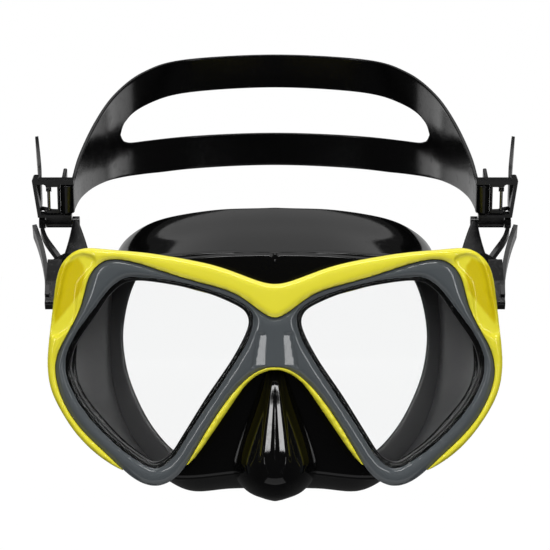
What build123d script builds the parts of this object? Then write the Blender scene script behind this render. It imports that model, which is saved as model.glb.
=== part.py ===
"""Two-lens snorkel mask with a split head strap: every piece is its own solid, in millimetres.

+X runs to the right as seen from the front, +Y runs back towards the wearer's head and +Z is up. The origin is the
point where the wearer's nose bridge lies against the mask, so a depth in this file is counted back from the front of
the frame and place() turns it into Y.
"""

import os
from math import cos, radians, sin, tan

from build123d import *
from build123d.topology import SkipClean

os.makedirs("parts", exist_ok=True)

# Overall layout
FACE_DEPTH = 50.0  # from the front of the frame to the wearer's nose bridge
LENS_SWEEP = 7.0  # degrees that each lens falls back towards the temple
BRIDGE_RADIUS = 50.0  # how softly the two swept halves meet over the nose

# Frame, lens retainer and lenses
FRAME_BACK = 15.0
FRAME_EDGE = 1.5
RETAINER_FRONT = 0.9
RETAINER_BACK = 7.0
RETAINER_EDGE = 0.9
LEDGE_FRONT = 10.0
LEDGE_WIDTH = 3.2
LENS_THICKNESS = 3.5
LENS_OVERLAP = 1.0
LIP_THICKNESS = 1.7
FACET_DEPTH = 1.3
ASSEMBLY_GAP = 0.1  # between pieces that are pressed together by hand

# Skirt
SKIRT_WALL = 2.2
SEAL_THICKNESS = 1.8
FACE_RADIUS = 150.0
SEAT_LIP = 0.8  # how far the lens seat shows inside the retainer

# Strap
STRAP_RISE = 19.2  # degrees that the strap climbs towards the back of the head
STRAP_THICKNESS = 1.5
STRAP_CENTRE = 9.7
SLOT_START = 89.0
TAIL_LENGTH = 34.0

# Buckle and its yoke
SWIVEL_DEPTH = 48.0
SWIVEL_HEIGHT = 20.3
PIN_RADIUS = 0.9
PIN_CLEARANCE = 0.05
SIDE_CLEARANCE = 0.3
BARREL_RADIUS = 2.05
BARREL_OUTER = 87.9
BARREL_INNER = 78.1
BUCKLE_HALF_DEPTH = 2.5
BUCKLE_TOP = 17.3
PLATE_THICKNESS = 1.5
BUCKLE_OUTER = 92.8
BUCKLE_INNER = 76.9
WALL_THICKNESS = 1.3
SILL_TOP = 3.6
ROLLER_X = 79.6
ROLLER_RADIUS = 1.15
JOURNAL_RADIUS = 0.7
LEVER_X = 86.7
LEVER_PIN_RADIUS = 0.6
CHEEK_THICKNESS = 1.2
SPRING_WIRE = 0.36
SPRING_TURNS = 3.5
EAR_RADIUS = 2.3
OUTER_EAR = 2.4
INNER_EAR = 2.6

SWEEP = tan(radians(LENS_SWEEP))
LENS_FRONT = RETAINER_FRONT + LIP_THICKNESS
LENS_BACK = LENS_FRONT + LENS_THICKNESS
FLANGE_FRONT = RETAINER_BACK + ASSEMBLY_GAP
FLANGE_BACK = LEDGE_FRONT - ASSEMBLY_GAP
SKIRT_FRONT = FRAME_BACK + ASSEMBLY_GAP

FRAME_OUTLINE = [
    (0, -3.3), (-9.1, -1.1), (-20.1, 2.9), (-34.7, 6.2), (-49.3, 8.4), (-63, 9.6), (-73.1, 9.2), (-78.3, 5),
    (-81.5, -5.5), (-83.2, -20), (-84.2, -31), (-82.8, -42.5), (-77.5, -53), (-68.4, -64), (-58.5, -71),
    (-51, -74.2), (-44.2, -75.2), (-38.6, -73.4), (-33.6, -71), (-29.3, -67), (-24.8, -60.9), (-14.6, -45.8),
    (-9.1, -38.8), (-4.5, -35.8), (0, -34.8),
]
RETAINER_OUTLINE = [
    (0, -15.7), (-5.4, -13.3), (-12.7, -8), (-27.4, -2.9), (-42, 1.5), (-56, 5.4), (-63, 5), (-67.3, 1.4),
    (-70.9, -9.2), (-75.7, -20.1), (-80, -28.5), (-81.2, -35), (-78.6, -45.8), (-71.7, -56.7), (-60, -68),
    (-50, -76.2), (-43.8, -77.7), (-37.4, -75.2), (-30.3, -65.9), (-17.5, -45.8), (-9.1, -37), (-4.5, -34.4),
    (0, -33.7),
]
LENS_OPENING = [
    (-53, -0.9), (-38.4, -2.2), (-23.7, -5.7), (-12.7, -10.2), (-8.6, -14), (-8.6, -19.5), (-14.2, -31.1),
    (-23.7, -45.8), (-33.2, -60.4), (-38.5, -68), (-43.8, -71), (-49, -69.3), (-61, -60.4), (-70.9, -49.4),
    (-76, -40), (-77.4, -33), (-75, -24.5), (-66.9, -12.8), (-60.3, -4.6),
]
CORNER_FACET = [(-67.5, 7), (-75, 6.4), (-78, 0), (-80, -10), (-81.5, -23), (-77.5, -21), (-73, -9.5), (-69.8, 0)]

# Skirt outlines by depth, from the middle of the brow round the temple to the middle of the upper lip
SKIRT_SECTIONS = {
    13.0: [(0, 8.7), (-20, 8.2), (-35, 6), (-50, 4.6), (-61, 3), (-69.5, -3), (-76, -15), (-79.5, -31), (-77, -43),
           (-68, -56), (-57, -66), (-45, -73.5), (-33, -77.5), (-17, -76.5), (0, -76)],
    35.0: [(0, 18), (-20, 17), (-36, 14.4), (-50, 10.6), (-60, 5.6), (-68, -3), (-75, -15), (-78.5, -31), (-76, -43),
           (-68, -56), (-57, -67), (-44, -77), (-31, -82), (-17, -80.5), (0, -80)],
    54.0: [(0, 26), (-20, 25), (-37, 22.3), (-50, 18), (-60, 11.5), (-69, 0), (-75, -14), (-78, -30), (-76, -44),
           (-68, -57), (-57, -68), (-44, -78), (-31, -83.5), (-16, -82.5), (0, -82)],
    72.0: [(0, 31), (-20, 30), (-37, 27), (-51, 22), (-62, 13), (-70.5, 0), (-76, -14), (-78.5, -30), (-76.5, -44),
           (-69, -57), (-58, -68), (-45, -78), (-31, -84), (-16, -83.5), (0, -83)],
}
SKIRT_HALF_WIDTH = 78.0
SKIRT_HALF_HEIGHT = 50.0
SKIRT_MIDDLE = -28.0
FACE_OPENING = [
    (0, 13), (-25, 13), (-44, 8), (-54, -3), (-58.5, -20), (-57.5, -35), (-53, -48), (-46, -60), (-37, -69),
    (-26, -73), (-12, -74), (0, -74),
]

# Nose pocket by height: half width, and how far in front of the frame it reaches
NOSE_SECTIONS = {-35.4: (3.4, -8.0), -38.0: (4.8, -3.0), -48.0: (8.5, 3.0), -58.0: (12.5, 9.0), -68.0: (15.6, 14.5),
                 -75.0: (15.0, 13.5), -80.0: (11.0, 7.0), -82.3: (5.0, -2.0)}
NOSE_ROOT = 20.0

# Side view of the strap: distance back from the swivel, and half width
STRAP_EDGE = [(0, 5.7), (14, 6.6), (44, 10.6), (71, 15.2), (90, 19), (106, 22.3), (118, 24.2), (140, 25)]
STRAP_PLAN = [(-77.65, 6), (-76.6, 30), (-72.6, 60), (-66, 86), (-54.5, 107), (-36, 120.5), (0, 127)]


def place(depth):
    """Y of a point that far behind the front of the frame."""
    return depth - FACE_DEPTH


def mirrored(points):
    """A half outline that starts and ends on the middle line, with its other half added. The loop starts halfway
    along the half, where the outline is flattest."""
    whole = points + [(-x, z) for x, z in reversed(points[1:-1])]
    start = len(points) // 2
    return whole[start:] + whole[:start]


def loop_face(points):
    """A front-view face inside a smooth closed curve."""
    return make_face([Spline(points, periodic=True)])


def grown(points, amount, closed=False):
    """Outline points moved outwards by amount, square to the curve through them. A half outline keeps its two ends
    on the middle line; a closed outline runs clockwise."""
    moved = []
    count = len(points)
    turn = -1 if closed else 1
    for i, (x, z) in enumerate(points):
        before = points[i - 1] if i or closed else (-points[1][0], points[1][1])
        after = points[(i + 1) % count] if i < count - 1 or closed else (-points[-2][0], points[-2][1])
        along = (after[0] - before[0], after[1] - before[1])
        length = (along[0] ** 2 + along[1] ** 2) ** 0.5
        moved.append((x + turn * amount * along[1] / length, z - turn * amount * along[0] / length))
    return moved


def front_view(face):
    """A face drawn in XY, stood up so that it is seen from the front."""
    return Plane.XZ * face


def swept_slab(front, back, radius=BRIDGE_RADIUS):
    """Everything between two depths, falling back on both sides of the nose."""
    reach = 130.0
    drop = reach * SWEEP
    outline = Polyline(
        (-reach, place(front) + drop),
        (0, place(front)),
        (reach, place(front) + drop),
        (reach, place(back) + drop),
        (0, place(back)),
        (-reach, place(back) + drop),
        close=True,
    )
    face = make_face(outline)
    if radius:
        face = fillet([v for v in face.vertices() if abs(v.X) < 0.1], radius)
    return extrude(face, 130, dir=(0, 0, 1), both=True)


def swept(face, front, back, radius=BRIDGE_RADIUS):
    """A front-view face given depth, between two swept depths."""
    block = extrude(front_view(face), 140, dir=(0, 1, 0), both=True)
    return block & swept_slab(front, back, radius)


def both_sides(shape):
    """The left piece and its mirror image."""
    return {"left": shape, "right": mirror(shape, Plane.YZ)}


def front_edges(shape, front):
    """The edges that bound the swept front face."""
    found = []
    for edge in shape.edges():
        if all(abs(p.Y - place(front) - surface_drop(p.X)) < 0.15 for p in (edge @ 0, edge @ 0.5, edge @ 1)):
            found.append(edge)
    return found


def surface_drop(x):
    """How far the swept surface lies behind its middle at that x."""
    flat = BRIDGE_RADIUS * SWEEP
    crown = BRIDGE_RADIUS * (1 / cos(radians(LENS_SWEEP)) - 1)
    if abs(x) >= flat:
        return abs(x) * SWEEP
    return crown + BRIDGE_RADIUS - (BRIDGE_RADIUS**2 - x * x) ** 0.5


def retainer_face(growth=0):
    """The retainer's outline, or what fits inside or round it."""
    return loop_face(mirrored(grown(RETAINER_OUTLINE, growth)))


def lens_face(growth=0):
    """The left lens opening, or what is larger or smaller all round."""
    return loop_face(grown(LENS_OPENING, growth, closed=True))


def make_frame_shell():
    """The shell: a swept ring with a pocket for the retainer, a ledge behind it and a dished outer corner."""
    body = swept(loop_face(mirrored(FRAME_OUTLINE)), 0, FRAME_BACK)
    body = fillet(front_edges(body, 0), FRAME_EDGE)
    body -= swept(retainer_face(ASSEMBLY_GAP), -5, LEDGE_FRONT)
    body -= swept(retainer_face(-LEDGE_WIDTH), LEDGE_FRONT - 1, FRAME_BACK + 5)
    for dish in both_sides(swept(loop_face(CORNER_FACET), -5, FACET_DEPTH)).values():
        body -= dish
    return body


def make_retainer():
    """The ring that snaps in from the front and holds both lenses against the skirt."""
    body = swept(retainer_face(), RETAINER_FRONT, RETAINER_BACK)
    body = fillet(front_edges(body, RETAINER_FRONT), RETAINER_EDGE)
    opening = swept(lens_face(), -5, RETAINER_BACK + 5)
    pocket = swept(lens_face(LENS_OVERLAP + ASSEMBLY_GAP), LENS_FRONT - ASSEMBLY_GAP, RETAINER_BACK + 5)
    for cut in (*both_sides(opening).values(), *both_sides(pocket).values()):
        body -= cut
    inner = [e for e in front_edges(body, RETAINER_FRONT) if e.length > 20]
    return chamfer(inner, RETAINER_EDGE) if inner else body


def make_lens():
    """One tempered glass pane with its edges ground."""
    pane = swept(lens_face(LENS_OVERLAP), LENS_FRONT, LENS_BACK, radius=0)
    return chamfer(pane.edges().filter_by(lambda e: e.length > 10), 0.3)


def skirt_bowl(inset):
    """The skirt's outside, or its inside when inset by a wall."""
    wide = 1 - inset / SKIRT_HALF_WIDTH
    high = 1 - inset / SKIRT_HALF_HEIGHT
    faces = []
    for depth, points in SKIRT_SECTIONS.items():
        ring = [(x * wide, SKIRT_MIDDLE + (z - SKIRT_MIDDLE) * high) for x, z in mirrored(points)]
        faces.append(Plane.XZ.offset(-place(depth)) * loop_face(ring))
    return loft(faces)


def nose_pocket(inset):
    """The pocket that the wearer's nose fills, as horizontal sections from under the bridge to the tip."""
    faces = []
    for height, (half_width, reach) in NOSE_SECTIONS.items():
        middle = place(NOSE_ROOT)
        section = Ellipse(max(half_width - inset, 0.8), NOSE_ROOT + reach - inset)
        shift = inset if height < -80 else -inset if height > -40 else 0
        faces.append(Pos(0, middle, height + shift) * section)
    return loft(faces)


def behind_face(gap):
    """The wearer's face as an upright drum that trims the skirt's seal to a curve."""
    return Pos(0, FACE_RADIUS, -30) * Cylinder(FACE_RADIUS + gap, 300)


def make_skirt():
    """The silicone skirt: a bowl with a nose pocket, a face seal turned inwards and a seat behind each lens."""
    outside = (skirt_bowl(0) & swept_slab(SKIRT_FRONT, 95)) - behind_face(0)
    nose = nose_pocket(0) - behind_face(0)
    neck = swept(retainer_face(-LEDGE_WIDTH - ASSEMBLY_GAP), FLANGE_BACK - 1, SKIRT_FRONT + 1)
    flange = swept(retainer_face(-ASSEMBLY_GAP), FLANGE_FRONT, FLANGE_BACK)
    inside = (skirt_bowl(SKIRT_WALL) & swept_slab(SKIRT_FRONT + SKIRT_WALL, 95)) - behind_face(SEAL_THICKNESS)
    nostrils = nose_pocket(SKIRT_WALL) - behind_face(SEAL_THICKNESS)
    windows = both_sides(swept(lens_face(-SEAT_LIP), 0, SKIRT_FRONT + SKIRT_WALL + 0.5))
    face = front_view(loop_face(mirrored(FACE_OPENING)))
    face_opening = Pos(0, place(40), 0) * extrude(face, 60, dir=(0, 1, 0))
    with SkipClean():
        body = outside.fuse(nose, neck, flange)
        body = body.cut(inside, nostrils, face_opening, *windows.values())
    return body


STRAP_FRAME = Plane(
    origin=(0, place(SWIVEL_DEPTH), SWIVEL_HEIGHT),
    x_dir=(1, 0, 0),
    z_dir=(0, -sin(radians(STRAP_RISE)), cos(radians(STRAP_RISE))),
)


def in_side_view(outline, half_width=130):
    """A face drawn as (back, up) in the strap's frame, given width across the head."""
    return extrude(Plane.YZ * outline, half_width, both=True)


def make_strap():
    """The strap: one band that loops round both rollers and spreads to a split pad behind the head."""
    loop = ROLLER_RADIUS + PIN_CLEARANCE + STRAP_THICKNESS / 2
    half = Spline([(-ROLLER_X + loop, 0)] + STRAP_PLAN)
    turn = ThreePointArc((-ROLLER_X + loop, 0), (-ROLLER_X, -loop), (-ROLLER_X - loop, 0))
    tail = Line((-ROLLER_X - loop, 0), (-ROLLER_X - loop, TAIL_LENGTH))
    path = Wire([half, turn, tail])
    ribbon = trace(path, STRAP_THICKNESS)
    whole = ribbon + mirror(ribbon, Plane.YZ)
    band = extrude(whole, 120, both=True)
    upper = [(t, w) for t, w in STRAP_EDGE]
    lower = [(t, -w) for t, w in reversed(STRAP_EDGE)]
    outline = make_face(
        [
            Spline(upper),
            Line(upper[-1], lower[0]),
            Spline(lower),
            Line(lower[-1], (-10, -5.7)),
            Line((-10, -5.7), (-10, 5.7)),
            Line((-10, 5.7), upper[0]),
        ]
    )
    slot_top = [(SLOT_START, 0), (92, 3.9), (98, 6.2), (107, 8), (117, 9.5), (127, 10.2), (140, 10.6)]
    slot_low = [(t, -w) for t, w in reversed(slot_top)]
    slot = make_face([Spline(slot_top), Line(slot_top[-1], slot_low[0]), Spline(slot_low)])
    band = band & in_side_view(outline)
    band -= in_side_view(slot)
    return Pos(0, 0, STRAP_CENTRE) * band


def make_buckle_body():
    """The left buckle's ring: a top plate, a raked outer wall and a sill over the swivel barrel."""
    foot = BUCKLE_OUTER - 1.9
    sill_under = EAR_RADIUS + SIDE_CLEARANCE
    under = BUCKLE_TOP - PLATE_THICKNESS
    outline = Polyline(
        (-BUCKLE_OUTER, BUCKLE_TOP),
        (-BUCKLE_INNER, BUCKLE_TOP),
        (-BUCKLE_INNER, under),
        (-BUCKLE_OUTER + WALL_THICKNESS + 0.2, under),
        (-foot + WALL_THICKNESS, SILL_TOP),
        (-BARREL_INNER, SILL_TOP),
        (-BARREL_INNER, 0),
        (-BARREL_OUTER, 0),
        (-BARREL_OUTER, sill_under),
        (-foot, sill_under),
        close=True,
    )
    ring = extrude(Plane.XZ * make_face(outline), BUCKLE_HALF_DEPTH, both=True)
    below = Pos(-(BARREL_OUTER + BARREL_INNER) / 2, 0, 0) * Box(20, 10, 2 * sill_under)
    trim = ring & below
    ring -= below
    sides = Plane.YZ * Rectangle(2 * BARREL_RADIUS, 2 * sill_under)
    web = trim & extrude(sides, 100, both=True)
    barrel = across(BARREL_OUTER, BARREL_INNER, BARREL_RADIUS)
    stop = Pos(-BUCKLE_OUTER + 1.3, 0, BUCKLE_TOP) * Box(2.4, 2 * BUCKLE_HALF_DEPTH, 2.2)
    stop = fillet(stop.edges().filter_by(Axis.Y).group_by(Axis.Z)[-1], 0.9)
    body = ring + web + barrel + stop
    body -= across(BUCKLE_OUTER, BUCKLE_INNER - 5, PIN_RADIUS + PIN_CLEARANCE)
    body -= upright(ROLLER_X, JOURNAL_RADIUS + PIN_CLEARANCE, SILL_TOP - 1.0, BUCKLE_TOP + 1)
    body -= upright(LEVER_X, LEVER_PIN_RADIUS + 0.02, SILL_TOP - 1.0, BUCKLE_TOP + 1)
    return body


def across(outer, inner, radius):
    """A left-hand cylinder that lies along X in the strap's frame, at the swivel."""
    return Pos(-(outer + inner) / 2, 0, 0) * Rot(0, 90, 0) * Cylinder(radius, outer - inner)


def upright(x, radius, low, high):
    """A cylinder that stands between sill and top plate, x out from the middle on the left."""
    return Pos(-x, 0, (low + high) / 2) * Cylinder(radius, high - low)


def make_roller():
    """The fluted roller that the strap turns round, with a journal at each end."""
    low = SILL_TOP + PIN_CLEARANCE
    high = BUCKLE_TOP - PLATE_THICKNESS - PIN_CLEARANCE
    roller = upright(ROLLER_X, ROLLER_RADIUS, low, high)
    for i in range(8):
        groove = Pos(-ROLLER_X, 0, (low + high) / 2) * Rot(0, 0, 45 * i) * Pos(ROLLER_RADIUS + 0.12, 0, 0)
        roller -= groove * Cylinder(0.25, high - low - 1)
    roller += upright(ROLLER_X, JOURNAL_RADIUS, SILL_TOP - 0.9, BUCKLE_TOP - 0.2)
    return roller


def make_lever():
    """The release lever: two cheeks on the pin, a toothed bar against the strap's tail and a long thumb blade."""
    low = SILL_TOP + 0.2
    high = BUCKLE_TOP - PLATE_THICKNESS - 0.2
    bite = -ROLLER_X - ROLLER_RADIUS - PIN_CLEARANCE - STRAP_THICKNESS - PIN_CLEARANCE
    cheek = make_face(
        Polyline(
            (bite - 0.4, -0.9), (bite - 0.4, 0.9), (-LEVER_X + 1, 1.3), (-LEVER_X - 0.9, 3.4), (-90.1, 4.8),
            (-91.2, 4.8), (-91.2, 3.2), (-89.2, 2.9), (-88.1, 1.0), (-LEVER_X - 0.9, -1.1), (-LEVER_X + 0.9, -1.1),
            close=True,
        )
    )
    cheek = fillet(cheek.vertices(), 0.25)
    lever = Pos(0, 0, low) * extrude(cheek, CHEEK_THICKNESS)
    lever += Pos(0, 0, high - CHEEK_THICKNESS) * extrude(cheek, CHEEK_THICKNESS)
    teeth = [(bite - 1.0, -0.9)]
    for i in range(3):
        teeth += [(bite - 0.35, -0.9 + 0.6 * i), (bite, -0.6 + 0.6 * i)]
    teeth += [(bite - 0.35, 0.9), (bite - 1.0, 0.9)]
    lever += Pos(0, 0, low) * extrude(make_face(Polyline(*teeth, close=True)), high - low)
    spine = Spline((-90.65, 3.3), (-90.8, 9), (-91.6, 18), (-93.9, 33))
    blade = Pos(0, 0, low) * extrude(trace(spine, 1.3), 40)
    thumb = make_face(
        [
            Polyline((12, low), (2, low), (2, high), (9, high)),
            Spline((9, high), (18, 17.2), (26, 20.6), (33.2, 25)),
            Spline((33.2, 25), (27, 15), (20, 8), (12, low)),
        ]
    )
    lever += blade & in_side_view(thumb)
    lever -= upright(LEVER_X, LEVER_PIN_RADIUS + PIN_CLEARANCE, 0, BUCKLE_TOP)
    return lever


def make_lever_spring():
    """The torsion spring that keeps the lever's teeth on the strap, coiled round the lever's pin."""
    pitch = SPRING_WIRE * 1.25
    high = BUCKLE_TOP - PLATE_THICKNESS - CHEEK_THICKNESS - 0.6
    radius = LEVER_PIN_RADIUS + 0.12 + SPRING_WIRE / 2
    coil = Helix(pitch, pitch * SPRING_TURNS, radius)
    section = Plane(coil @ 0, z_dir=coil % 0) * Circle(SPRING_WIRE / 2)
    spring = sweep(section, path=coil)
    return Pos(-LEVER_X, 0, high - pitch * SPRING_TURNS) * spring


def make_arm():
    """The left yoke: it sits behind the frame's corner and hugs its side, and its two ears carry the swivel pin."""
    ear_outer = BARREL_OUTER + SIDE_CLEARANCE
    ear_inner = BARREL_INNER - SIDE_CLEARANCE
    swivel = Pos(0, place(SWIVEL_DEPTH), SWIVEL_HEIGHT)
    ears = swivel * across(ear_outer + OUTER_EAR, ear_outer, EAR_RADIUS)
    ears += swivel * across(ear_inner, ear_inner - INNER_EAR, EAR_RADIUS)
    foot = make_face(
        Polyline((-69, 7.6), (-69, 0), (-76, -4), (-85.2, -6), (-85.2, 5), (-79, 8.2), close=True)
    )
    foot = fillet(foot.vertices(), 1.2)
    arm = swept(foot, FRAME_BACK + ASSEMBLY_GAP, FRAME_BACK + 5)
    horn = loft(
        [
            Plane((-74.6, place(27), 4.0), x_dir=(1, 0, 0), z_dir=(-0.1, 0.93, 0.36)) * RectangleRounded(10.4, 7.4, 1.5),
            Plane((-75.2, place(37), 12), x_dir=(1, 0, 0), z_dir=(0, 0.8, 0.6)) * RectangleRounded(6.4, 5.2, 1.2),
            Plane((-76.5, place(46.6), 19.2), x_dir=(1, 0, 0), z_dir=(0, 0.8, 0.6)) * RectangleRounded(2.5, 4.2, 1.0),
        ]
    )
    strut_path = Spline(
        (-89.4, place(46.8), 19.0), (-87, place(38.5), 12.8), (-84, place(33), 9.2), (-81, place(28.5), 5.5)
    )
    strut = sweep(Plane(strut_path @ 0, x_dir=(1, 0, 0), z_dir=strut_path % 0) * Rectangle(1.6, 3.2), path=strut_path)
    leaf_path = Spline(
        (-84.4, place(14), -9.5), (-85.6, place(24), -0.5), (-88.6, place(35), 9.5), (-91.9, place(43.5), 16.8)
    )
    leaf = sweep(Plane(leaf_path @ 0, x_dir=(1, 0, 0), z_dir=leaf_path % 0) * Rectangle(1.7, 6.4), path=leaf_path)
    cheek = make_face(
        Polyline(
            (place(11), -10.5), (place(13.5), -13), (place(22), -8), (place(29), -2.5), (place(29.5), 5),
            (place(24), 6), (place(17), -2), close=True
        )
    )
    cheek = fillet(cheek.vertices(), 1.0)
    side = Pos(-82.5, 0, 0) * extrude(Plane.YZ * cheek, 2.7, both=True)
    side -= swept(loop_face(mirrored(grown(FRAME_OUTLINE, ASSEMBLY_GAP))), -20, FRAME_BACK + ASSEMBLY_GAP)
    arm += [ears, horn, strut, leaf, side]
    arm -= swivel * across(BUCKLE_OUTER + 5, BUCKLE_INNER - 5, PIN_RADIUS + 0.01)
    return arm


def make_swivel_pin():
    """The plain pin through both ears and the barrel, a little short of the ears' outer faces."""
    outer = BARREL_OUTER + SIDE_CLEARANCE + OUTER_EAR - 0.3
    inner = BARREL_INNER - SIDE_CLEARANCE - INNER_EAR + 0.3
    return Pos(0, place(SWIVEL_DEPTH), SWIVEL_HEIGHT) * across(outer, inner, PIN_RADIUS)


def make_lever_pin():
    """The lever's fixed pin."""
    return upright(LEVER_X, LEVER_PIN_RADIUS, SILL_TOP - 0.9, BUCKLE_TOP - 0.2)


def export(name, shape, frame=None):
    """Writes one node, moved out of the strap's frame when it was drawn there."""
    solids = shape.solids()
    if len(solids) != 1:
        raise ValueError(f"{name} has {len(solids)} solids: {[round(s.volume, 2) for s in solids]}")
    solid = solids[0]
    if frame:
        solid = frame.location * solid
    export_step(solid, f"parts/{name}.step")
    print(name, round(solid.volume), [round(v, 1) for v in (*solid.bounding_box().min, *solid.bounding_box().max)])


def export_pair(name, shape, frame=None):
    """Writes a left piece and its mirror image."""
    for side, piece in both_sides(shape).items():
        export(f"{name}_{side}", piece, frame)


export_pair("strap_arm", make_arm())
export_pair("swivel_pin", make_swivel_pin())
export_pair("buckle_body", make_buckle_body(), STRAP_FRAME)
export_pair("roller", make_roller(), STRAP_FRAME)
export_pair("lever", make_lever(), STRAP_FRAME)
export_pair("lever_pin", make_lever_pin(), STRAP_FRAME)
export_pair("lever_spring", make_lever_spring(), STRAP_FRAME)
export("strap", make_strap(), STRAP_FRAME)
export("frame_shell", make_frame_shell())
export("lens_retainer", make_retainer())
export_pair("lens", make_lens())
export("skirt", make_skirt())
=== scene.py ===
# %% [markdown]
# # A snorkel mask, dressed
# The solids of the mask come in as a fixed frame: every piece at its real size, on the body that it moves with. This
# lesson gives the hard parts their finishes. It builds the soft parts, the skirt and the strap, as smooth surfaces that
# stand for their plain solids, and it rolls the edges of the two mouldings round the lenses.

# %% Load the frame
from math import atan2, cos, pi, radians, sin, sqrt, tan

import bmesh
import bpy
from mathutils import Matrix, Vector
from mathutils.kdtree import KDTree


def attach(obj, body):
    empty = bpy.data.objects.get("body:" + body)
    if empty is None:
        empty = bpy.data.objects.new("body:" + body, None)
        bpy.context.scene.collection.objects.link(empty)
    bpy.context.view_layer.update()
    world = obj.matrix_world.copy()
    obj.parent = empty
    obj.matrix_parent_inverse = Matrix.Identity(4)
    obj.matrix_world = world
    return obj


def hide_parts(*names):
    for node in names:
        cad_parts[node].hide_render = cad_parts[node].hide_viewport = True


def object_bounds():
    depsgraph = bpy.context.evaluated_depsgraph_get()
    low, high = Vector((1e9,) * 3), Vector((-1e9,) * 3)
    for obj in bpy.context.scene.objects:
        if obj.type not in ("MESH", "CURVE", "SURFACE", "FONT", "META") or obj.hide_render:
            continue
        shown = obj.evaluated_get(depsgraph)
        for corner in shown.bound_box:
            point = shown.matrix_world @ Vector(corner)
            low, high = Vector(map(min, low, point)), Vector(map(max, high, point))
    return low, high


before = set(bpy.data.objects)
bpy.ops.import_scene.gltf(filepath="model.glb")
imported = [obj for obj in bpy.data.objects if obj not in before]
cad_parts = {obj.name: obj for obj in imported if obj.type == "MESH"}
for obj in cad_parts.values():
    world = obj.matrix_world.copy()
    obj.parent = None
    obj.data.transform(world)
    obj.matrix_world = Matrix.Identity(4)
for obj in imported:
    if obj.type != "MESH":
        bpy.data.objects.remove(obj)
cad_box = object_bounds()
print("nodes:", len(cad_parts), "box:", [[round(v, 4) for v in corner] for corner in cad_box])

# %% [markdown]
# ## The skin of a moulding
# Moulded plastic and silicone are never one flat colour. Plastic has a faint unevenness from the mould and fine
# hairline scuffs, and silicone has a softer skin with a little dust in it. Each could be painted by hand, but both are
# only noise of different strengths. So one node group makes the noise, and every material sets its own strengths.

# %% Helpers for node trees
def new_group(name, inputs, outputs):
    """An empty node group with the given sockets."""
    group = bpy.data.node_groups.new(name, "ShaderNodeTree")
    for label, kind, default in inputs:
        group.interface.new_socket(label, in_out="INPUT", socket_type=kind).default_value = default
    for label, kind in outputs:
        group.interface.new_socket(label, in_out="OUTPUT", socket_type=kind)
    group.nodes.new("NodeGroupInput")
    group.nodes.new("NodeGroupOutput")
    return group


def node(tree, kind, **values):
    """A new node with some of its properties or sockets set."""
    made = tree.nodes.new(kind)
    for key, value in values.items():
        if hasattr(made, key) and key not in made.inputs:
            setattr(made, key, value)
        else:
            made.inputs[key].default_value = value
    return made


print("groups and nodes can be made")


# %% Nodes that work on numbers
def multiply_add(tree, value, factor, extra):
    """value x factor + extra, where each is another node's output or a plain number."""
    made = node(tree, "ShaderNodeMath", operation="MULTIPLY_ADD")
    for source, socket in zip((value, factor, extra), made.inputs):
        if isinstance(source, bpy.types.NodeSocket):
            tree.links.new(source, socket)
        else:
            socket.default_value = source
    return made.outputs[0]


def stretch(tree, value, start, stop, low, high):
    """Stretches value from the range start to stop onto the range low to high, and clamps it there."""
    made = node(tree, "ShaderNodeMapRange")
    for label, number in (("From Min", start), ("From Max", stop), ("To Min", low), ("To Max", high)):
        made.inputs[label].default_value = number
    tree.links.new(value, made.inputs["Value"])
    return made.outputs[0]


print("numbers can be multiplied, added and stretched")

# %% A node group for the skin
BROAD_SCALE, FINE_SCALE, HAIR_SCALE = 38.0, 1400.0, 260.0
HAIR_START, HAIR_FULL = 0.52, 0.72
FINE_SHARE = 0.12
RIPPLE_HEIGHT = 0.0004


def make_moulded_skin():
    """Colour drift, scuffed roughness and a faint mould ripple, from noise in object space."""
    group = new_group(
        "Moulded skin",
        [("Colour", "NodeSocketColor", (0.5, 0.5, 0.5, 1)), ("Drift", "NodeSocketFloat", 0.06),
         ("Roughness", "NodeSocketFloat", 0.2), ("Scuff", "NodeSocketFloat", 0.1), ("Ripple", "NodeSocketFloat", 0.1)],
        [("Colour", "NodeSocketColor"), ("Roughness", "NodeSocketFloat"), ("Normal", "NodeSocketVector")],
    )
    links = group.links
    start = group.nodes["Group Input"].outputs
    end = group.nodes["Group Output"].inputs
    place = node(group, "ShaderNodeTexCoord")
    broad = node(group, "ShaderNodeTexNoise", Scale=BROAD_SCALE, Detail=3.0)
    fine = node(group, "ShaderNodeTexNoise", Scale=FINE_SCALE, Detail=4.0)
    hair = node(group, "ShaderNodeTexNoise", Scale=HAIR_SCALE, Detail=5.0, Distortion=1.4)
    for texture in (broad, fine, hair):
        links.new(place.outputs["Object"], texture.inputs["Vector"])
    raised = multiply_add(group, broad.outputs["Fac"], start["Drift"], 1.0)
    centred = multiply_add(group, start["Drift"], -0.5, raised)
    tint = node(group, "ShaderNodeVectorMath", operation="SCALE")
    links.new(start["Colour"], tint.inputs[0])
    links.new(centred, tint.inputs["Scale"])
    links.new(tint.outputs[0], end["Colour"])
    marks = stretch(group, hair.outputs["Fac"], HAIR_START, HAIR_FULL, 0.0, 1.0)
    links.new(multiply_add(group, marks, start["Scuff"], start["Roughness"]), end["Roughness"])
    bump = node(group, "ShaderNodeBump", Distance=RIPPLE_HEIGHT)
    links.new(start["Ripple"], bump.inputs["Strength"])
    links.new(multiply_add(group, fine.outputs["Fac"], FINE_SHARE, broad.outputs["Fac"]), bump.inputs["Height"])
    links.new(bump.outputs[0], end["Normal"])
    return group


moulded_skin = make_moulded_skin()
print("group:", moulded_skin.name)
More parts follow.
